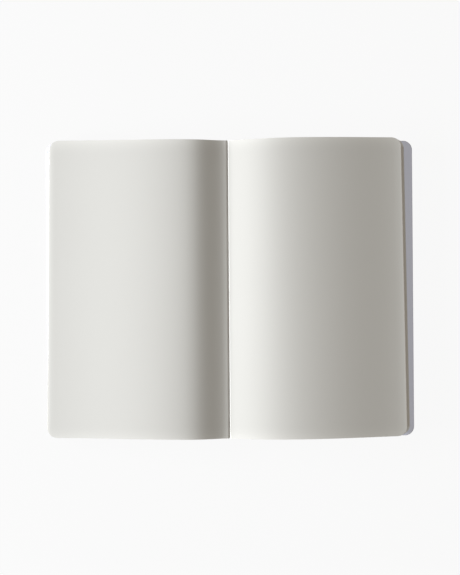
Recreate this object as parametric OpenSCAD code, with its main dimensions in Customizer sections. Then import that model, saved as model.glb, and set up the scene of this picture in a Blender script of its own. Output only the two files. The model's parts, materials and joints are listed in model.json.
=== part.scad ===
// Sketchbook lying open near its middle: eight sewn gatherings of drawing
// paper in a limp wrap-around cover with round outer corners.
// X runs across the open book, Y along the spine towards the head, Z up.
// The origin is the middle of the spine's underside.

/* [Pages] */
// Height of the pages, along the spine, mm
page_h = 210; // [148:1:297]
// Width of a page from its fold to its fore-edge, mm
page_w = 125; // [90:1:210]
// Radius of the round outer corners, mm
corner_r = 6.5; // [0.5:0.5:15]
// Thickness of one leaf of drawing paper, mm
leaf_t = 0.14; // [0.1:0.01:0.25]
// Leaves in one gathering, two to each folded sheet
leaves_n = 6; // [4:2:10]
// Room that the thread and the folds add to each gathering, mm
swell = 0.06; // [0:0.01:0.2]
// Gatherings that lie open on the front cover's side
front_n = 3; // [1:1:4]
// Gatherings that lie open on the back cover's side
back_n = 5; // [1:1:6]

/* [Open curve] */
// Rise of the front side's top page above a straight line, mm
front_arch = 1.2; // [0.2:0.1:2.5]
// Rise of the back side's top page above a straight line, mm
back_arch = 3; // [0.2:0.1:3.5]
// Share of that rise which reaches the gatherings below
arch_share = 0.6; // [0:0.05:0.7]
// Distance from the spine in which the lowest leaf comes down to the cover, mm
settle_w = 15; // [8:1:30]
// Running gap between the leaves of neighbouring gatherings, mm
leaf_gap = 0.12; // [0.05:0.01:0.2]

/* [Cover] */
// Thickness of the limp cover, mm
cover_t = 0.6; // [0.4:0.05:1.2]
// Thickness of the endpaper pasted inside each cover, mm
paste_t = 0.2; // [0.1:0.05:0.3]
// Room on each side of the folds for the cover to stand up, mm
joint_w = 1.35; // [1.25:0.05:3]
// Width of the strip between the spine's edge and the scored line, mm
strip_w = 6; // [3:0.5:12]
// Gap left at each crease, mm
crease_gap = 0.06; // [0.02:0.01:0.2]

/* [Sewing] */
// Thickness of the cloth lining on the spine, mm
lining_t = 0.25; // [0.1:0.05:0.5]
// Bare length at each end of the lining, mm
lining_inset = 9; // [0:1:20]
// Height of the outermost fold, where the leaves start to turn, mm
fold_d = 0.8; // [0.7:0.05:2]
// Thickness of the sewing thread, mm
thread_d = 0.25; // [0.15:0.05:0.35]
// Distance from each end of the spine to the kettle stitch, mm
kettle_y = 13; // [8:1:25]
// Pairs of sewing holes between the kettle stitches
pairs_n = 3; // [2:1:5]
// Distance between the two holes of a pair, mm
pair_w = 14; // [8:1:20]

/* [Hidden] */
$fn = 48;
steps = 16;
gather_n = front_n + back_n;
pitch = leaves_n*leaf_t + swell;
block_t = gather_n*pitch;
gutter_x = (front_n - back_n)*pitch/2;
zs = cover_t + lining_t;       // underside of the folds
zb = cover_t + paste_t;        // what the lowest leaves lie on
zh = zs + fold_d;              // axis of the outermost gathering
zc = cover_t/2;                // axis of the creases
crease_x = block_t/2 + joint_w;
score_x = crease_x + strip_w;
leaf_l = page_w - fold_d;      // outermost leaves, from axis to fore-edge
cover_x = crease_x + zh - zc + leaf_l;
drop = zh - zb;

paper = "#f1f0ea";
paper_fold = "#e9e6dc";
cover_c = "#d9dae2";
paste_c = "#ebebee";
lining_c = "#d8cfbd";
glue_c = "#e6dfc8";
thread_c = "#f4f1e6";

// ---- curves of the open block ----

function ease(u) = let (v = min(1, max(0, u))) v*v*(3 - 2*v);
function hump(u) = let (v = min(1, max(0, u))) 6.75*v*(1 - v)*(1 - v);
// Reach of the outermost leaves from the gutter, on a side of n gatherings
function reach(n) = n*pitch + leaf_l;
// Fore-edge of gathering k, counted from the gutter: all are level once closed
function tip(k, n) = reach(n) - 2*(n - k)*pitch;
function rise(k, n, arch) = k == 0 ? arch : arch_share*arch*(n - k)/max(1, n - 1);
// The rise starts past the folds, so that the closed leaves stand clear of them
function bow(n, x) = hump((x - n*pitch)/(reach(n) - n*pitch));
// Height, at distance x from the gutter, of the face under gathering k
function face_z(k, n, arch, x) = k == n
    ? zb + 0.05 + (drop - 0.05)*(1 - ease((x - n*pitch)/settle_w))
    : zh + (n - k)*pitch - drop*x/reach(n) + rise(k, n, arch)*bow(n, x);
function stop_x(k, n, i) = k*pitch + (tip(k, n) - k*pitch)*pow(i/steps, 1.3);

// Outline of a page or cover from x = a to x = b, round at the outer corners
module leaf_plan(a, b, h) {
    translate([a, -h/2]) square([b - corner_r - a, h]);
    translate([a, -h/2 + corner_r]) square([b - a, h - 2*corner_r]);
    for (y = [-1, 1]) translate([b - corner_r, y*(h/2 - corner_r)]) circle(corner_r);
}

// Loose leaves of gathering k on a side of n, drawn towards +X from the gutter
module leaves(k, n, arch) {
    low = [for (i = [0:steps]) let (x = stop_x(k, n, i))
        [x, face_z(k, n, arch, x) + (k == n ? 0 : leaf_gap/2)]];
    high = [for (i = [steps:-1:0]) let (x = stop_x(k, n, i))
        [x, face_z(k - 1, n, arch, x) - leaf_gap/2]];
    intersection() {
        rotate([90, 0, 0]) linear_extrude(page_h, center = true) polygon(concat(low, high));
        linear_extrude(40) leaf_plan(0, tip(k, n), page_h);
    }
}

module side_leaves(j) {
    color(paper) translate([gutter_x, 0, 0])
        if (j <= front_n) mirror([1, 0, 0]) leaves(front_n + 1 - j, front_n, front_arch);
        else leaves(j - front_n, back_n, back_arch);
}

// ---- sewn backs ----

function fold_x(j) = (j - gather_n/2 - 0.5)*pitch;
// Axis height of gathering j
function axis_z(j) = zh + (j <= front_n ? j - 1 : gather_n - j)*pitch;
// Sewing holes along the spine, from tail to head
kettle = page_h/2 - kettle_y;
function pair_y(i) = -kettle + 2*kettle*(i + 1)/(pairs_n + 1);
holes = concat([-kettle], [for (i = [0:pairs_n - 1], e = [-1, 1]) pair_y(i) + e*pair_w/2], [kettle]);
in_z = zs + thread_d + 0.2;

// One gathering's row of stitches: inside the fold between pairs, outside within a pair
module stitches(j) {
    translate([fold_x(j), 0, 0]) rotate([90, 0, 90])
        linear_extrude(thread_d, center = true) {
            for (i = [0:len(holes) - 2])
                translate([holes[i] - thread_d/2, i % 2 == 0 ? in_z : zs])
                    square([holes[i + 1] - holes[i] + thread_d, thread_d]);
            for (y = holes) translate([y - thread_d/2, zs])
                square([thread_d, in_z + thread_d - zs]);
        }
}

// Link from gathering j to the next, at the head or the tail in turn
module kettle_link(j) {
    translate([fold_x(j), (j % 2 == 0 ? -kettle : kettle) - thread_d/2, zs])
        cube([pitch, thread_d, thread_d]);
}

module fold_body(j) {
    rotate([90, 0, 0]) linear_extrude(page_h, center = true) {
        intersection() {
            translate([fold_x(j), zs + pitch/2]) circle(d = pitch);
            translate([fold_x(j) - pitch/2, zs]) square([pitch, pitch/2]);
        }
        translate([fold_x(j) - pitch/2, zs + pitch/2])
            square([pitch, axis_z(j) - zs - pitch/2]);
    }
}

module fold(j) {
    color(paper_fold) difference() {
        fold_body(j);
        stitches(j);
        if (j > 1) kettle_link(j - 1);
        if (j < gather_n) kettle_link(j);
    }
}

module sewing_thread() {
    color(thread_c) {
        for (j = [1:gather_n]) stitches(j);
        for (j = [1:gather_n - 1]) kettle_link(j);
    }
}

// Glue fills the valleys between the round folds
module spine_glue() {
    color(glue_c) difference() {
        translate([-block_t/2, -page_h/2 + lining_inset, zs])
            cube([block_t, page_h - 2*lining_inset, pitch/2]);
        rotate([90, 0, 0]) linear_extrude(page_h + 2, center = true)
            for (j = [1:gather_n]) translate([fold_x(j), zs + pitch/2]) circle(d = pitch);
        for (j = [1:gather_n]) stitches(j);
        for (j = [1:gather_n - 1]) kettle_link(j);
    }
}

module spine_lining() {
    color(lining_c) translate([-block_t/2 - joint_w/2, -page_h/2 + lining_inset, cover_t])
        cube([block_t + joint_w, page_h - 2*lining_inset, lining_t]);
}

// ---- cover ----

module spine_cover() {
    w = crease_x - zc - crease_gap;
    color(cover_c) translate([-w, -page_h/2, 0]) cube([2*w, page_h, cover_t]);
}

// A flat panel with a round edge on its crease axis, drawn towards +X
module nosed(a) {
    translate([a, 0, zc]) rotate([90, 0, 0]) cylinder(h = page_h, r = zc, center = true);
    children();
}

module strip() {
    color(cover_c) nosed(crease_x)
        translate([crease_x, -page_h/2, 0])
            cube([strip_w - zc - crease_gap, page_h, cover_t]);
}

module panel() {
    color(cover_c) nosed(score_x)
        linear_extrude(cover_t) leaf_plan(score_x, cover_x, page_h);
}

module endpaper() {
    color(paste_c) translate([0, 0, cover_t]) linear_extrude(paste_t)
        leaf_plan(score_x + 1, cover_x - 0.4, page_h - 0.8);
}

spine_cover();
spine_lining();
spine_glue();
sewing_thread();
fold(1);  // fold_1
fold(2);  // fold_2
fold(3);  // fold_3
fold(4);  // fold_4
fold(5);  // fold_5
fold(6);  // fold_6
fold(7);  // fold_7
fold(8);  // fold_8
side_leaves(1);  // leaves_1
side_leaves(2);  // leaves_2
side_leaves(3);  // leaves_3
side_leaves(4);  // leaves_4
side_leaves(5);  // leaves_5
side_leaves(6);  // leaves_6
side_leaves(7);  // leaves_7
side_leaves(8);  // leaves_8
mirror([1, 0, 0]) strip();  // front_strip
mirror([1, 0, 0]) panel();  // front_cover
mirror([1, 0, 0]) endpaper();  // front_endpaper
strip();  // back_strip
panel();  // back_cover
endpaper();  // back_endpaper
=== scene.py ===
"""Looks of an open sewn sketchbook: folded sheets in gatherings, a limp cover and finishes."""

import json
import math
import random
from typing import NamedTuple

import bpy
from bpy.props import FloatProperty, FloatVectorProperty, IntProperty, PointerProperty
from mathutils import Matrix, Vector


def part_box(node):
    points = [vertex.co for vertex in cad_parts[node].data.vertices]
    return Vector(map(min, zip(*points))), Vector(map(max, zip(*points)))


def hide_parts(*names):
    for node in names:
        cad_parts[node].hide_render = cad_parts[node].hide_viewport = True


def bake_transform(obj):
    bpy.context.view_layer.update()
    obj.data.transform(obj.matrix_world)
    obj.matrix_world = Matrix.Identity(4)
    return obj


bl_info = {
    "name": "Sewn Sketchbook",
    "version": (1, 0, 0),
    "blender": (4, 5, 0),
    "location": "3D View > Sidebar > Sketchbook",
    "description": "Builds the pages, cover and finishes of an open sewn sketchbook",
    "category": "Object",
}

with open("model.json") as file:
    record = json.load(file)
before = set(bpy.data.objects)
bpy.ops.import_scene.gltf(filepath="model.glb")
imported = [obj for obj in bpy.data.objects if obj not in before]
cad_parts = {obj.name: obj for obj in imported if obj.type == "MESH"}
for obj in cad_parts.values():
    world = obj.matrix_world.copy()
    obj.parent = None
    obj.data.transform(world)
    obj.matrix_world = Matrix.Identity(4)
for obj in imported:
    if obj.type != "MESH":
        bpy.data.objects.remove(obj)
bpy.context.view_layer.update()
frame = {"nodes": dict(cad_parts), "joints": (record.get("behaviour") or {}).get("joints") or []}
MM = 0.001
JOINTS = {j["child"]: j for j in frame["joints"]}
FRONT_N, BACK_N = 3, 5
GATHERINGS = FRONT_N + BACK_N

# Mesh of a folded sheet
SHEET_ROWS = 10  # spans from tail to head
# Distances from the fold at which a leaf has points, in mm
NEAR_FOLD = (0.0, 0.12, 0.26, 0.45, 0.75, 1.2, 1.9, 2.9, 4.2, 6.0, 8.5, 11.5, 15.0, 19.5, 25.0)
OPEN_SPANS = 18  # from the last of them to the round corner
CORNER_DEG = (15, 30, 44, 57, 69, 80, 90)
UPRIGHT_SHARES = (0.0, 0.33, 0.66)
FOLD_DEG = (36, 72, 108, 144)
EDGE_JITTER = 0.12  # mm by which a fore-edge may be out of line
JITTER_SEED = 4
LOWEST_GAP = 0.03 * MM  # between the lowest leaf and the endpaper
LOWEST_START = 0.5  # share of its drop at which the lowest leaf leaves its fold
FAN_REACH = 45 * MM  # distance in which the leaves' turn in their own plane sets in

# Mesh of the cover
CORNER_SEGMENTS = 10
RIM_SEGMENTS = 2
BEND_STEPS = 6  # cuts to each side of a score
SAME = 1e-3 * MM  # places closer than this count as one

SMOOTH_ANGLE = math.radians(40)

# Finishes
FIBRE_GROUP = "Paper fibre"
FIBRE_DEPTH = 0.01 * MM
CLOUD_SCALE = 22
# Power with which the painted light along head and tail fades towards the middle
MARGIN_LIGHT_POWER = 2.0

# Stage
FLOOR_SIZE = 6
FLOOR_GAP = 0.1 * MM
FLOOR_GREY = 0.8
FLOOR_GLOW = 0.95  # share of the floor's colour that doesn't depend on the lamps
KEY_LAMP = {"side": -1, "away": 1.1, "size": (0.9, 0.12), "colour": (0.97, 1.0, 1.035)}
FILL_LAMP = {"side": 1, "away": 1.0, "size": (0.9, 0.6), "colour": (1.0, 0.93, 0.83)}
FILL_DEG = 65


# ---- sizes and colours ----


class SketchbookPages(bpy.types.PropertyGroup):
    """Sizes of the folded sheets and of the curve they lie in."""

    leaf_t: FloatProperty(
        name="Leaf thickness", description="Thickness of one leaf of paper",
        default=0.1 * MM, unit="LENGTH",
    )
    leaves: IntProperty(
        name="Leaves", description="Leaves in one gathering, two to each folded sheet", default=6
    )
    corner_r: FloatProperty(
        name="Corner radius", description="Radius of the pages' round outer corners",
        default=6.5 * MM, unit="LENGTH",
    )
    front_arch: FloatProperty(
        name="Front arch", description="Rise of the front side's top page",
        default=2.62 * MM, unit="LENGTH",
    )
    front_rise: FloatProperty(
        name="Front rise",
        description="Power with which the front side's arch starts at the gutter",
        default=0.95,
    )
    front_fall: FloatProperty(
        name="Front fall",
        description="Power with which the front side's arch ends at the fore-edge",
        default=2.28,
    )
    front_dip: FloatProperty(
        name="Front dip", description="How far the front side's top page sinks at the gutter",
        default=1.45 * MM, unit="LENGTH",
    )
    front_dip_w: FloatProperty(
        name="Front dip width", description="Reach of the front side's dip",
        default=8.9 * MM, unit="LENGTH",
    )
    front_dip_x: FloatProperty(
        name="Front dip place", description="Distance of the front side's dip from the gutter",
        default=5.3 * MM, unit="LENGTH",
    )
    back_arch: FloatProperty(
        name="Back arch", description="Rise of the back side's top page",
        default=3.7 * MM, unit="LENGTH",
    )
    back_rise: FloatProperty(
        name="Back rise", description="Power with which the back side's arch starts at the gutter",
        default=1.0,
    )
    back_fall: FloatProperty(
        name="Back fall", description="Power with which the back side's arch ends at the fore-edge",
        default=1.45,
    )
    back_dip: FloatProperty(
        name="Back dip", description="How far the back side's top page sinks at the gutter",
        default=1.5 * MM, unit="LENGTH",
    )
    back_dip_w: FloatProperty(
        name="Back dip width", description="Reach of the back side's dip",
        default=16.6 * MM, unit="LENGTH",
    )
    front_lift: FloatProperty(
        name="Front lift", description="Extra height of the front side's top page at the gutter",
        default=1.3 * MM, unit="LENGTH",
    )
    front_lip: FloatProperty(
        name="Front lip",
        description="Rise of the front side's pages where they turn down into the gutter",
        default=0.36 * MM, unit="LENGTH",
    )
    front_lip_w: FloatProperty(
        name="Front lip width", description="Reach of the front side's lip",
        default=1.7 * MM, unit="LENGTH",
    )
    front_droop: FloatProperty(
        name="Front droop", description="How far the front leaves bend down at the fore-edge",
        default=0.09 * MM, unit="LENGTH",
    )
    droop_w: FloatProperty(
        name="Droop width", description="Distance in which the front leaves bend down",
        default=3 * MM, unit="LENGTH",
    )
    arch_share: FloatProperty(
        name="Arch share", description="Share of the rise that reaches the gatherings below",
        default=0.6,
    )
    settle_w: FloatProperty(
        name="Settling width",
        description="Distance in which the lowest leaf comes down to the cover",
        default=15 * MM, unit="LENGTH",
    )
    front_shoulder: FloatProperty(
        name="Front shoulder",
        description="Distance in which the front side's leaves bend over from their folds",
        default=0.3 * MM, unit="LENGTH",
    )
    back_shoulder: FloatProperty(
        name="Back shoulder",
        description="Distance in which the back side's leaves bend over from their folds",
        default=0.25 * MM, unit="LENGTH",
    )
    front_stand: FloatProperty(
        name="Front upright",
        description="Share of its height up to which a front leaf stands upright",
        default=0.75,
    )
    back_stand: FloatProperty(
        name="Back upright",
        description="Share of its height up to which a back leaf stands upright",
        default=0.92,
    )
    turn_w: FloatProperty(
        name="Turning width",
        description="Distance from its fold in which a gathering bends as it turns",
        default=2.6 * MM, unit="LENGTH",
    )
    front_step: FloatProperty(
        name="Front edge step",
        description="Step of the front leaves' edges, as a share of twice their height",
        default=0.25,
    )
    back_step: FloatProperty(
        name="Back edge step",
        description="Step of the back leaves' edges, as a share of twice their height",
        default=0.45,
    )
    inner_step: FloatProperty(
        name="Inner step", description="Share of the edges' step that shows inside one gathering",
        default=0.3,
    )
    front_inset: FloatProperty(
        name="Front inset", description="How far short of the cover the front side's leaves end",
        default=-1.6 * MM, unit="LENGTH",
    )
    back_inset: FloatProperty(
        name="Back inset", description="How far short of the cover the back side's leaves end",
        default=1.8 * MM, unit="LENGTH",
    )
    # Painted shade: width of the darkened rim at each back leaf's fore-edge, standing in for the
    # shade beside the back side's stepped edges
    back_rim_shade: FloatProperty(
        name="Rim painted shade width", description="Width of the handled rim of each leaf on the back side",
        default=0.4 * MM, unit="LENGTH",
    )
    fan_deg: FloatProperty(
        name="Fan",
        description="Turn of each side's leaves in their own plane, towards the tail, in degrees",
        default=0.8,
    )
    fan_slip: FloatProperty(
        name="Fan slip", description="Share of the fan that also moves the leaves towards the head",
        default=0.6,
    )


class SketchbookCover(bpy.types.PropertyGroup):
    """Sizes of the card cover."""

    corner_r: FloatProperty(
        name="Corner radius", description="Radius of the cover's round outer corners",
        default=6.5 * MM, unit="LENGTH",
    )
    rim_r: FloatProperty(
        name="Rim softness", description="Rounding of the card's cut rims",
        default=0.12 * MM, unit="LENGTH",
    )
    bend_w: FloatProperty(
        name="Bend width", description="Distance to each side of a score in which the card bends",
        default=0.8 * MM, unit="LENGTH",
    )
    score_d: FloatProperty(
        name="Score depth", description="Depth of the pressed line outside a score",
        default=0.08 * MM, unit="LENGTH",
    )


class SketchbookColours(bpy.types.PropertyGroup):
    """Colours of paper, card, thread and glue."""

    paper: FloatVectorProperty(
        name="Paper", description="Drawing paper",
        subtype="COLOR", size=3, default=(0.70, 0.692, 0.66), min=0, max=1,
    )
    # Painted light: the paper is made lighter in a margin along head and tail, standing in for
    # brighter light there
    margin_light_gain: FloatProperty(
        name="Margin painted light", description="How much lighter the paper is along head and tail",
        default=0.12,
    )
    margin_light_w: FloatProperty(
        name="Painted light margin width", description="Width of the lighter margin",
        default=10 * MM, unit="LENGTH",
    )
    edge: FloatVectorProperty(
        name="Cut edge", description="Cut edges of the leaves",
        subtype="COLOR", size=3, default=(0.60, 0.55, 0.48), min=0, max=1,
    )
    # Painted shade: a dark brown for the back leaves' rims at the fore-edge, standing in for the
    # shade there
    soiled: FloatVectorProperty(
        name="Rim painted shade", description="Handled rims of the leaves",
        subtype="COLOR", size=3, default=(0.42, 0.355, 0.28), min=0, max=1,
    )
    cover: FloatVectorProperty(
        name="Cover", description="Limp card of the cover",
        subtype="COLOR", size=3, default=(0.62, 0.62, 0.70), min=0, max=1,
    )
    core: FloatVectorProperty(
        name="Card core", description="Cut edges of the card",
        subtype="COLOR", size=3, default=(0.66, 0.65, 0.68), min=0, max=1,
    )
    endpaper: FloatVectorProperty(
        name="Endpaper", description="Paper pasted inside the cover",
        subtype="COLOR", size=3, default=(0.80, 0.84, 0.99), min=0, max=1,
    )
    lining: FloatVectorProperty(
        name="Lining", description="Cloth on the spine",
        subtype="COLOR", size=3, default=(0.52, 0.46, 0.36), min=0, max=1,
    )
    glue: FloatVectorProperty(
        name="Glue", description="Dried glue between the folds",
        subtype="COLOR", size=3, default=(0.66, 0.60, 0.45), min=0, max=1,
    )
    thread: FloatVectorProperty(
        name="Thread", description="Sewing thread",
        subtype="COLOR", size=3, default=(0.78, 0.74, 0.64), min=0, max=1,
    )


class SketchbookStage(bpy.types.PropertyGroup):
    """Camera and lights."""

    camera_z: FloatProperty(
        name="Camera height", description="Height of the camera over the table",
        default=0.345, unit="LENGTH",
    )
    lens: FloatProperty(name="Lens", description="Focal length, in millimetres", default=30.25)
    camera_y: FloatProperty(
        name="Camera shift", description="How far the camera stands towards the head",
        default=1.35 * MM, unit="LENGTH",
    )
    camera_roll: FloatProperty(
        name="Camera roll", description="Turn of the camera about its axis, in degrees",
        default=-0.45,
    )
    key_power: FloatProperty(
        name="Key light", description="Power of the light at the left, in watts", default=45.3
    )
    key_angle: FloatProperty(
        name="Key height", description="Height of the key light over the table, in degrees",
        default=8.0,
    )
    fill: FloatProperty(
        name="Room light", description="Strength of the light from all around", default=0.12
    )
    fill_power: FloatProperty(
        name="Fill light", description="Power of the soft light over the right side, in watts",
        default=2.95,
    )
    floor_white: FloatProperty(name="Floor", description="How bright the floor shows", default=0.97)


# ---- small helpers ----


def alone(obj):
    """Selects obj and nothing else."""
    bpy.ops.object.select_all(action="DESELECT")
    obj.select_set(True)
    bpy.context.view_layer.objects.active = obj


def apply_modifier(obj, kind, **values):
    """Gives obj a modifier with these values and applies it."""
    alone(obj)
    mod = obj.modifiers.new(kind.title(), kind)
    for key, value in values.items():
        setattr(mod, key, value)
    bpy.ops.object.modifier_apply(modifier=mod.name)


def into_mesh(obj):
    """Puts an object's place, turn and size into its mesh."""
    alone(obj)
    bpy.ops.object.transform_apply(location=True, rotation=True, scale=True)


def join(parts, name):
    """Joins the parts into one piece with this name."""
    alone(parts[0])
    for p in parts[1:]:
        p.select_set(True)
    if len(parts) > 1:
        bpy.ops.object.join()
    obj = bpy.context.view_layer.objects.active
    obj.name = obj.data.name = name
    return obj


def pick_edges(obj, wanted):
    """Selects, in edit mode, the edges whose two ends wanted(a, b) accepts."""
    bpy.ops.mesh.select_mode(type="EDGE")
    bpy.ops.mesh.select_all(action="DESELECT")
    bpy.ops.object.mode_set(mode="OBJECT")
    points = obj.data.vertices
    for edge in obj.data.edges:
        edge.select = wanted(*(points[i].co for i in edge.vertices))
    bpy.ops.object.mode_set(mode="EDIT")


def set_material(obj, *mats):
    """Gives obj these materials and no others."""
    obj.data.materials.clear()
    for m in mats:
        obj.data.materials.append(m)


def smooth_step(u):
    """Goes smoothly from 0 to 1 as u does."""
    v = min(1.0, max(0.0, u))
    return v * v * (3 - 2 * v)


# ---- where each leaf lies ----


class Side:
    """One side of the open block: where its gatherings turn and how its leaves curve.

    A distance x is measured from the gutter. Gathering k is counted from the gutter outwards,
    and f is a leaf's place in its gathering, from 0 at the top to 1 at the bottom.
    """

    def __init__(self, front, pages):
        self.sign = -1 if front else 1
        self.n = FRONT_N if front else BACK_N
        self.pages = pages
        which = "front" if front else "back"
        for size in ("arch", "rise", "fall", "dip", "dip_w", "step", "shoulder", "stand", "inset"):
            setattr(self, size, getattr(pages, f"{which}_{size}"))
        self.dip_x = pages.front_dip_x if front else 0.0
        self.lift = pages.front_lift if front else 0.0
        self.lip = pages.front_lip if front else 0.0
        self.droop = pages.front_droop if front else 0.0
        # Only the back side's leaves get the rim of painted shade
        self.soiled = 0.0 if front else pages.back_rim_shade
        numbers = range(self.n, 0, -1) if front else range(FRONT_N + 1, GATHERINGS + 1)
        self.numbers = list(numbers)  # from the gutter outwards
        first = JOINTS[f"leaves_{self.numbers[0]}"]["pos_m"]
        last = JOINTS[f"leaves_{self.numbers[-1]}"]["pos_m"]
        self.pitch = abs(last[0] - first[0]) / (self.n - 1)
        self.gutter = first[0] - self.sign * self.pitch
        self.z_axis = last[2]
        self.z_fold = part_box("fold_1")[0].z
        self.z_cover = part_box("front_endpaper")[1].z
        low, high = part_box(f"leaves_{self.numbers[-1]}")
        self.cad_reach = (self.gutter - low.x) if front else (high.x - self.gutter)
        self.reach = self.cad_reach - self.inset
        self.half_h = high.y

    def bump(self, x):
        """Height of the top page over a straight line: its arch and lip, less its dip."""
        u = min(1.0, max(0.0, x / self.tip(1, 0)))
        peak = self.rise / (self.rise + self.fall)
        hump = (u / peak) ** self.rise * ((1 - u) / (1 - peak)) ** self.fall
        lip = self.lip * math.exp(-x / self.pages.front_lip_w)
        dip = self.dip * math.exp(-(((x - self.dip_x) / self.dip_w) ** 2) / 2)
        return self.arch * hump + lip - dip

    def face(self, k, x):
        """Height of the face under gathering k."""
        p = self.pages
        drop = self.z_axis - self.z_cover
        if k == self.n:
            settled = smooth_step((x - self.n * self.pitch) / p.settle_w)
            return self.z_cover + LOWEST_GAP + LOWEST_START * drop * (1 - settled)
        bump = self.bump(x)
        if k == 0:
            share = 1
        elif bump > 0:
            share = p.arch_share * (self.n - k) / (self.n - 1)
        else:
            share = (self.n - k) / self.n
        flat = self.z_axis + (self.n - k) * self.pitch - drop * x / self.cad_reach
        lift = self.lift * (self.n - k) / self.n * max(0.0, 1 - x / self.reach)
        return flat + share * bump + lift

    def level(self, k, f, x):
        """Height of a leaf between the faces of its gathering."""
        return (1 - f) * self.face(k - 1, x) + f * self.face(k, x)

    def start(self, k, f):
        """Distance at which a leaf stands up from its fold."""
        return (k - 1 + f) * self.pitch

    def tip(self, k, f):
        """Distance of a leaf's fore-edge."""
        inner = self.pages.inner_step
        steps = self.n - k + inner * (1 - f) + (1 - inner) / 2
        return self.reach - 2 * self.step * self.pitch * steps

    def bend_z(self, k, f):
        """Height at which a leaf bends over from its fold."""
        base = self.z_fold + self.pitch / 2
        return base + self.stand * max(0.0, self.level(k, f, self.start(k, f)) - base)

    def leaf_z(self, k, f, x):
        """Height of a leaf, with its bend over the fold and its droop at the fore-edge."""
        x0 = self.start(k, f)
        sunk = self.level(k, f, x0) - self.bend_z(k, f)
        droop = self.droop * (self.n - k + 1 - f) / self.n
        near_end = max(0.0, 1 - (self.tip(k, f) - x) / self.pages.droop_w)
        bend = sunk * math.exp(-(x - x0) / self.shoulder)
        return self.level(k, f, x) - bend - droop * near_end**2

    def leaf_columns(self, k, f, jitter):
        """Distances at which a leaf has points, and where it ends."""
        x0, end = self.start(k, f), self.tip(k, f) + jitter
        r = self.pages.corner_r
        near = [x0 + d * MM for d in NEAR_FOLD]
        far = end - r
        mid = [near[-1] + (far - near[-1]) * (i + 1) / OPEN_SPANS for i in range(OPEN_SPANS)]
        corner = [far + r * math.sin(math.radians(a)) for a in CORNER_DEG]
        return near + mid + corner, end


class Column(NamedTuple):
    """A row of a sheet's points from tail to head, on a leaf or on the fold."""

    x: float  # distance from the gutter
    z: float = None  # height, on the fold
    f: float = None  # the leaf's place in its gathering
    end: float = None  # the leaf's fore-edge


def sheet_columns(side, k, f_top, f_low, rng):
    """Columns of a sheet from its upper leaf's fore-edge, round the fold, to its lower leaf's."""
    upper, end_upper = side.leaf_columns(k, f_top, rng.uniform(-EDGE_JITTER, EDGE_JITTER) * MM)
    lower, end_lower = side.leaf_columns(k, f_low, rng.uniform(-EDGE_JITTER, EDGE_JITTER) * MM)
    z_mid = side.z_fold + side.pitch / 2
    r = (lower[0] - upper[0]) / 2

    def upright(x, f, share):
        return Column(x, z=z_mid + share * (side.bend_z(k, f) - z_mid))

    columns = [Column(x, f=f_top, end=end_upper) for x in reversed(upper)]
    columns += [upright(upper[0], f_top, share) for share in reversed(UPRIGHT_SHARES)]
    for a in FOLD_DEG:
        t = math.radians(a)
        columns.append(Column(upper[0] + r - r * math.cos(t), z=z_mid - r * math.sin(t)))
    columns += [upright(lower[0], f_low, share) for share in UPRIGHT_SHARES]
    columns += [Column(x, f=f_low, end=end_lower) for x in lower]
    return columns


def sheet_point(side, k, column, share):
    """Place of a column's point, whose share goes from -1 at the tail to 1 at the head."""
    pages = side.pages
    half = side.half_h
    if column.f is None:
        x, y, z = column.x, share * half, column.z
    else:
        past = column.x - (column.end - pages.corner_r)
        if past > 0:
            half -= pages.corner_r - math.sqrt(max(0.0, pages.corner_r**2 - past**2))
        y = share * half
        z = side.leaf_z(k, column.f, column.x)
        turn = math.radians(pages.fan_deg) * smooth_step(column.x / FAN_REACH)
        x, y = column.x - y * turn, y + column.x * turn * pages.fan_slip
    return Vector((side.gutter + side.sign * x, y, z))


def build_sheet(side, k, f_top, f_low, rng, finishes):
    """One folded sheet of gathering k: its upper leaf, its fold and its lower leaf.

    The finishes are those of the paper, of its cut edge and of its rim darkened as painted shade.
    """
    columns = sheet_columns(side, k, f_top, f_low, rng)
    last = len(columns) - 1
    bpy.ops.object.select_all(action="DESELECT")
    bpy.ops.mesh.primitive_grid_add(x_subdivisions=last, y_subdivisions=SHEET_ROWS, size=2)
    obj = bpy.context.object
    column_of = [round((v.co.x + 1) / 2 * last) for v in obj.data.vertices]
    for v, i in zip(obj.data.vertices, column_of):
        v.co = sheet_point(side, k, columns[i], v.co.y)
    set_material(obj, *finishes)
    for face in obj.data.polygons:
        i = min(column_of[v] for v in face.vertices)
        leaf = columns[i] if i < last / 2 else columns[i + 1]
        inner = min(columns[i].x, columns[i + 1].x)
        # Faces within that width of a back leaf's fore-edge get the painted shade finish
        if leaf.f is not None and inner > leaf.end - side.soiled:
            face.material_index = 2
    apply_modifier(
        obj, "SOLIDIFY",
        thickness=side.pages.leaf_t, offset=0.0, use_even_offset=True, material_offset_rim=1,
    )
    bpy.ops.object.shade_smooth_by_angle(angle=SMOOTH_ANGLE)
    return obj


# ---- finishes ----


def shader_of(tree):
    """The Principled shader of a material's node tree."""
    return next(n for n in tree.nodes if n.type == "BSDF_PRINCIPLED")


def new_material(name):
    """A new material, its node tree and its shader."""
    mat = bpy.data.materials.new(name)
    mat.use_nodes = True
    return mat, mat.node_tree, shader_of(mat.node_tree)


def feed(tree, slot, value):
    """Links a socket to an input, or sets the input to a number."""
    if isinstance(value, bpy.types.NodeSocket):
        tree.links.new(value, slot)
    else:
        slot.default_value = value


def math_node(tree, operation, *values):
    """Result of a Math node on sockets or numbers."""
    node = tree.nodes.new("ShaderNodeMath")
    node.operation = operation
    for slot, value in zip(node.inputs, values):
        feed(tree, slot, value)
    return node.outputs[0]


def noise(tree, place, **values):
    """Result of a Noise Texture at a place."""
    node = tree.nodes.new("ShaderNodeTexNoise")
    tree.links.new(place, node.inputs["Vector"])
    for label, value in values.items():
        feed(tree, node.inputs[label], value)
    return node.outputs["Fac"]


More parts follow.
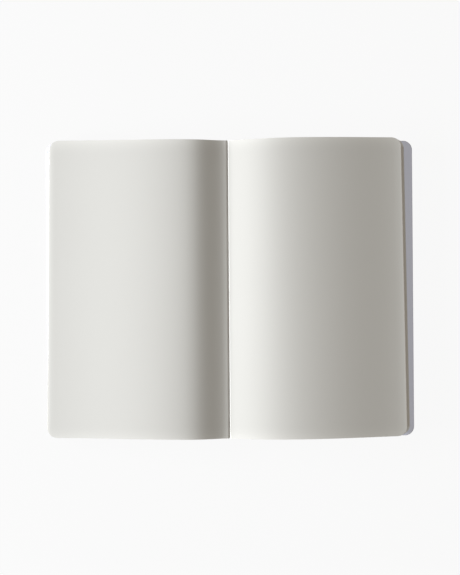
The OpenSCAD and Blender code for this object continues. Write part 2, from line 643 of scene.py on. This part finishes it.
def scaled(tree, colour, amount):
    """A colour times an amount."""
    node = tree.nodes.new("ShaderNodeVectorMath")
    node.operation = "SCALE"
    tree.links.new(colour, node.inputs[0])
    tree.links.new(amount, node.inputs["Scale"])
    return node.outputs[0]


def seen(tree):
    """Is 1 for what is seen straight, in a reflection or through glass, and 0 for all else."""
    path = tree.nodes.new("ShaderNodeLightPath")
    direct = math_node(
        tree, "MAXIMUM", path.outputs["Is Camera Ray"], path.outputs["Is Glossy Ray"]
    )
    return math_node(tree, "MAXIMUM", direct, path.outputs["Is Transmission Ray"])


def fibre_group():
    """Shared fibre of paper, card and cloth: a colour that varies and a height for a bump."""
    if FIBRE_GROUP in bpy.data.node_groups:
        return bpy.data.node_groups[FIBRE_GROUP]
    group = bpy.data.node_groups.new(FIBRE_GROUP, "ShaderNodeTree")
    for label, kind, value in (
        ("Colour", "NodeSocketColor", (1, 1, 1, 1)),
        ("Fibre size", "NodeSocketFloat", 900.0),
        ("Cloudiness", "NodeSocketFloat", 0.03),
    ):
        s = group.interface.new_socket(name=label, in_out="INPUT", socket_type=kind)
        s.default_value = value
    for label, kind in (("Colour", "NodeSocketColor"), ("Height", "NodeSocketFloat")):
        group.interface.new_socket(name=label, in_out="OUTPUT", socket_type=kind)
    given = group.nodes.new("NodeGroupInput").outputs
    result = group.nodes.new("NodeGroupOutput").inputs
    place = group.nodes.new("ShaderNodeTexCoord").outputs["Object"]
    fibres = noise(group, place, Scale=given["Fibre size"], Detail=4, Roughness=0.6)
    cloud = noise(group, place, Scale=CLOUD_SCALE, Detail=3)
    centred = math_node(group, "SUBTRACT", math_node(group, "ADD", fibres, cloud), 1.0)
    amount = math_node(group, "MULTIPLY_ADD", centred, given["Cloudiness"], 1.0)
    group.links.new(scaled(group, given["Colour"], amount), result["Colour"])
    group.links.new(fibres, result["Height"])
    return group


def fibrous(name, colour, fibre, cloudiness, roughness, bump, gloss=0.15):
    """A matt fibrous finish of one colour."""
    mat, tree, shader = new_material(name)
    group = tree.nodes.new("ShaderNodeGroup")
    group.node_tree = fibre_group()
    group.inputs["Colour"].default_value = (*colour, 1)
    group.inputs["Fibre size"].default_value = fibre
    group.inputs["Cloudiness"].default_value = cloudiness
    tree.links.new(group.outputs["Colour"], shader.inputs["Base Color"])
    relief = tree.nodes.new("ShaderNodeBump")
    relief.inputs["Strength"].default_value = bump
    relief.inputs["Distance"].default_value = FIBRE_DEPTH
    tree.links.new(group.outputs["Height"], relief.inputs["Height"])
    tree.links.new(relief.outputs["Normal"], shader.inputs["Normal"])
    shader.inputs["Roughness"].default_value = roughness
    shader.inputs["Specular IOR Level"].default_value = gloss
    return mat


def paint_margin_light(mat, half, width, gain):
    """Makes the paper a little lighter in a margin along head and tail, as painted light."""
    tree = mat.node_tree
    base = shader_of(tree).inputs["Base Color"]
    colour = base.links[0].from_socket
    place = tree.nodes.new("ShaderNodeTexCoord")
    split = tree.nodes.new("ShaderNodeSeparateXYZ")
    tree.links.new(place.outputs["Object"], split.inputs[0])
    ramp = tree.nodes.new("ShaderNodeMapRange")
    ramp.inputs["From Min"].default_value = half - width
    ramp.inputs["From Max"].default_value = half
    feed(tree, ramp.inputs["Value"], math_node(tree, "ABSOLUTE", split.outputs["Y"]))
    share = math_node(tree, "POWER", ramp.outputs["Result"], MARGIN_LIGHT_POWER)
    level = math_node(tree, "MULTIPLY_ADD", share, gain, 1.0)
    tree.links.new(scaled(tree, colour, level), base)


# ---- operators ----


class SKETCHBOOK_OT_gatherings(bpy.types.Operator):
    """Builds every gathering as folded sheets that open to their side"""

    bl_idname = "sketchbook.gatherings"
    bl_label = "Gatherings"

    def execute(self, context):
        pages, c = context.scene.sketchbook_pages, context.scene.sketchbook_colours
        paper = fibrous(
            "Drawing paper", c.paper, fibre=3000, cloudiness=0.015, roughness=0.9, bump=0.5
        )
        # Painted light: the paper is lighter along head and tail
        paint_margin_light(paper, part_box("leaves_4")[1].y, c.margin_light_w, c.margin_light_gain)
        rim = {"fibre": 2500, "cloudiness": 0.08, "roughness": 0.95, "bump": 0.3}
        edge = fibrous("Cut paper edge", c.edge, **rim)
        # Painted shade for the rims of the back leaves
        soiled = fibrous("Soiled paper rim", c.soiled, **rim)
        rng = random.Random(JITTER_SEED)
        for side in (Side(True, pages), Side(False, pages)):
            for k, number in enumerate(side.numbers, start=1):
                sheets = []
                for i in range(pages.leaves // 2):
                    f_top = (i + 0.5) / pages.leaves
                    f_low = (pages.leaves - i - 0.5) / pages.leaves
                    sheets.append(build_sheet(side, k, f_top, f_low, rng, (paper, edge, soiled)))
                piece = join(sheets, f"gathering_{number}")
                into_mesh(piece)
                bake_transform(piece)
                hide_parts(f"leaves_{number}", f"fold_{number}")
        return {"FINISHED"}


def card_stretch(name, x_in, x_out, bend, sizes, finishes, rounded):
    """A stretch of the card cover from x_in to x_out, pressed at bend.

    It has round corners at x_out if asked. The finishes are those of the card and of its core.
    """
    low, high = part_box("front_cover")
    half, thick = high.y, high.z - low.z
    out = 1 if x_out > x_in else -1
    bpy.ops.object.select_all(action="DESELECT")
    bpy.ops.mesh.primitive_cube_add(
        size=1,
        location=((x_in + x_out) / 2, 0, low.z + thick / 2),
        scale=(abs(x_out - x_in), 2 * half, thick),
    )
    obj = bpy.context.object
    obj.name = obj.data.name = name
    into_mesh(obj)
    bpy.ops.object.mode_set(mode="EDIT")

    def across(a, b, x):
        """Whether an edge lies at x."""
        return abs(a.x - x) < SAME and abs(b.x - x) < SAME

    if rounded:
        pick_edges(obj, lambda a, b: across(a, b, x_out) and abs(a.y - b.y) < SAME)
        bpy.ops.mesh.bevel(
            offset=sizes.corner_r, segments=CORNER_SEGMENTS, affect="EDGES", clamp_overlap=False
        )
    joined = (x_in,) if rounded else (x_in, x_out)

    def on_rim(a, b):
        """Whether an edge is on a cut rim, and not where two stretches meet."""
        level = abs(a.z - b.z) < SAME
        long_side = abs(abs((a.y + b.y) / 2) - half) < SAME
        outer = out * (a.x + b.x) / 2 > out * x_out - sizes.corner_r
        return level and (long_side or outer) and not any(across(a, b, x) for x in joined)

    pick_edges(obj, on_rim)
    bpy.ops.mesh.bevel(
        offset=sizes.rim_r, segments=RIM_SEGMENTS, affect="EDGES", clamp_overlap=False
    )
    for i in range(-BEND_STEPS, BEND_STEPS + 1):
        bpy.ops.mesh.select_all(action="SELECT")
        cut = bend + i / BEND_STEPS * sizes.bend_w
        bpy.ops.mesh.bisect(plane_co=(cut, 0, 0), plane_no=(1, 0, 0))
    pick_edges(obj, lambda a, b: across(a, b, bend) and a.z + b.z < SAME)
    bpy.ops.transform.translate(value=(0, 0, sizes.score_d))
    bpy.ops.object.mode_set(mode="OBJECT")
    set_material(obj, *finishes)
    for face in obj.data.polygons:
        face.material_index = 1 if abs(face.normal.z) < 0.5 else 0
    alone(obj)
    bpy.ops.object.shade_smooth_by_angle(angle=SMOOTH_ANGLE)
    return obj


class SKETCHBOOK_OT_cover(bpy.types.Operator):
    """Builds the card cover, cut and pressed at its scores"""

    bl_idname = "sketchbook.cover"
    bl_label = "Cover"

    def execute(self, context):
        sizes, c = context.scene.sketchbook_cover, context.scene.sketchbook_colours
        card = fibrous(
            "Cover card", c.cover, fibre=1100, cloudiness=0.05, roughness=0.75, bump=0.4
        )
        core = fibrous("Card core", c.core, fibre=2200, cloudiness=0.12, roughness=0.9, bump=0.5)
        for side, sign in (("front", -1), ("back", 1)):
            crease = JOINTS[f"{side}_strip"]["pos_m"]
            score = JOINTS[f"{side}_cover"]["pos_m"]
            low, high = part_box(f"{side}_cover")
            edge = low.x if sign < 0 else high.x
            middle = (crease[0] + score[0]) / 2
            stretches = (
                (f"cover_{side}_crease", 0.0, middle, crease, "spine", f"{side}_strip", False),
                (f"cover_{side}", middle, edge, score, f"{side}_strip", f"{side}_cover", True),
            )
            for name, x_in, x_out, bend, inner, outer, rounded in stretches:
                piece = card_stretch(name, x_in, x_out, bend[0], sizes, (card, core), rounded)
                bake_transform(piece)
                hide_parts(outer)
                if name == "cover_back_crease":
                    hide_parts(outer, "spine_cover")
        return {"FINISHED"}


class SKETCHBOOK_OT_spine(bpy.types.Operator):
    """Finishes the endpapers, lining, glue and thread"""

    bl_idname = "sketchbook.spine"
    bl_label = "Endpapers and spine"

    def execute(self, context):
        c = context.scene.sketchbook_colours
        paste = fibrous(
            "Endpaper", c.endpaper, fibre=1500, cloudiness=0.04, roughness=0.6, bump=0.3, gloss=0.5
        )
        lining = fibrous(
            "Spine cloth", c.lining, fibre=1800, cloudiness=0.15, roughness=0.95, bump=0.6
        )
        glue = fibrous("Dried glue", c.glue, fibre=400, cloudiness=0.08, roughness=0.5, bump=0.2)
        thread = fibrous(
            "Linen thread", c.thread, fibre=3500, cloudiness=0.2, roughness=0.8, bump=0.6
        )
        finishes = {
            "front_endpaper": paste, "back_endpaper": paste,
            "spine_lining": lining, "spine_glue": glue, "sewing_thread": thread,
        }
        for node, mat in finishes.items():
            set_material(frame["nodes"][node], mat)
        return {"FINISHED"}


class SKETCHBOOK_OT_stage(bpy.types.Operator):
    """Sets the floor, the lights and the camera over the open book"""

    bl_idname = "sketchbook.stage"
    bl_label = "Stage"

    def floor(self, white):
        """A pale floor just under the book, which shows mostly its own white and keeps a shadow."""
        bpy.ops.object.select_all(action="DESELECT")
        bpy.ops.mesh.primitive_plane_add(size=FLOOR_SIZE, location=(0, 0, -FLOOR_GAP))
        floor = bpy.context.object
        floor.name = "floor"
        into_mesh(floor)
        mat, tree, shader = new_material("Pale floor")
        shader.inputs["Base Color"].default_value = (FLOOR_GREY, FLOOR_GREY, FLOOR_GREY, 1)
        shader.inputs["Roughness"].default_value = 1.0
        shader.inputs["Specular IOR Level"].default_value = 0.0
        glow = tree.nodes.new("ShaderNodeEmission")
        glow.inputs["Color"].default_value = (white, white, white, 1)
        mix = tree.nodes.new("ShaderNodeMixShader")
        feed(tree, mix.inputs["Fac"], math_node(tree, "MULTIPLY", seen(tree), FLOOR_GLOW))
        tree.links.new(shader.outputs["BSDF"], mix.inputs[1])
        tree.links.new(glow.outputs["Emission"], mix.inputs[2])
        out = next(n for n in tree.nodes if n.type == "OUTPUT_MATERIAL")
        tree.links.new(mix.outputs[0], out.inputs["Surface"])
        set_material(floor, mat)

    def room(self, scene, strength, white):
        """Even light from all around, behind a white backdrop that gives no light itself."""
        world = bpy.data.worlds.new("Soft room")
        scene.world = world
        world.use_nodes = True
        tree = world.node_tree
        back = next(n for n in tree.nodes if n.type == "BACKGROUND")
        back.inputs["Color"].default_value = (1, 1, 1, 1)
        level = math_node(tree, "MULTIPLY_ADD", seen(tree), white - strength, strength)
        tree.links.new(level, back.inputs["Strength"])

    def lamp(self, scene, name, power, height_deg, side, away, size, colour):
        """An area light at one side of the table that looks at the middle of the book."""
        light = bpy.data.lights.new(name, "AREA")
        light.shape = "RECTANGLE"
        light.size, light.size_y = size
        light.energy = power
        light.color = colour
        lamp = bpy.data.objects.new(name, light)
        scene.collection.objects.link(lamp)
        a = math.radians(height_deg)
        lamp.location = (side * away * math.cos(a), 0.0, away * math.sin(a))
        lamp.rotation_euler = (-lamp.location).to_track_quat("-Z", "Y").to_euler()

    def camera(self, scene, s):
        """A camera that looks straight down at the book."""
        cam = bpy.data.cameras.new("Camera")
        cam.lens = s.lens
        cam.clip_start = 10 * MM
        eye = bpy.data.objects.new("Camera", cam)
        scene.collection.objects.link(eye)
        eye.location = (0, s.camera_y, s.camera_z)
        eye.rotation_euler = (0, 0, math.radians(s.camera_roll))
        scene.camera = eye

    def execute(self, context):
        scene = context.scene
        s = scene.sketchbook_stage
        scene.view_settings.view_transform = "Standard"
        self.floor(s.floor_white)
        self.room(scene, s.fill, s.floor_white)
        self.lamp(scene, "Key light", s.key_power, s.key_angle, **KEY_LAMP)
        self.lamp(scene, "Fill light", s.fill_power, FILL_DEG, **FILL_LAMP)
        self.camera(scene, s)
        return {"FINISHED"}


class SKETCHBOOK_PT_panel(bpy.types.Panel):
    """Lists the sketchbook's operators"""

    bl_label = "Sketchbook"
    bl_idname = "SKETCHBOOK_PT_panel"
    bl_space_type = "VIEW_3D"
    bl_region_type = "UI"
    bl_category = "Sketchbook"

    def draw(self, context):
        for op in OPERATORS:
            self.layout.operator(op.bl_idname)


OPERATORS = (
    SKETCHBOOK_OT_stage, SKETCHBOOK_OT_gatherings, SKETCHBOOK_OT_cover, SKETCHBOOK_OT_spine,
)
GROUPS = (
    ("sketchbook_pages", SketchbookPages),
    ("sketchbook_cover", SketchbookCover),
    ("sketchbook_colours", SketchbookColours),
    ("sketchbook_stage", SketchbookStage),
)


def register():
    for _, group in GROUPS:
        bpy.utils.register_class(group)
    for op in OPERATORS:
        bpy.utils.register_class(op)
    bpy.utils.register_class(SKETCHBOOK_PT_panel)
    for name, group in GROUPS:
        setattr(bpy.types.Scene, name, PointerProperty(type=group))


def unregister():
    for name, _ in GROUPS:
        delattr(bpy.types.Scene, name)
    bpy.utils.unregister_class(SKETCHBOOK_PT_panel)
    for op in reversed(OPERATORS):
        bpy.utils.unregister_class(op)
    for _, group in reversed(GROUPS):
        bpy.utils.unregister_class(group)


def main():
    register()
    bpy.ops.sketchbook.stage()
    bpy.ops.sketchbook.gatherings()
    bpy.ops.sketchbook.cover()
    bpy.ops.sketchbook.spine()


if __name__ == "__main__":
    main()
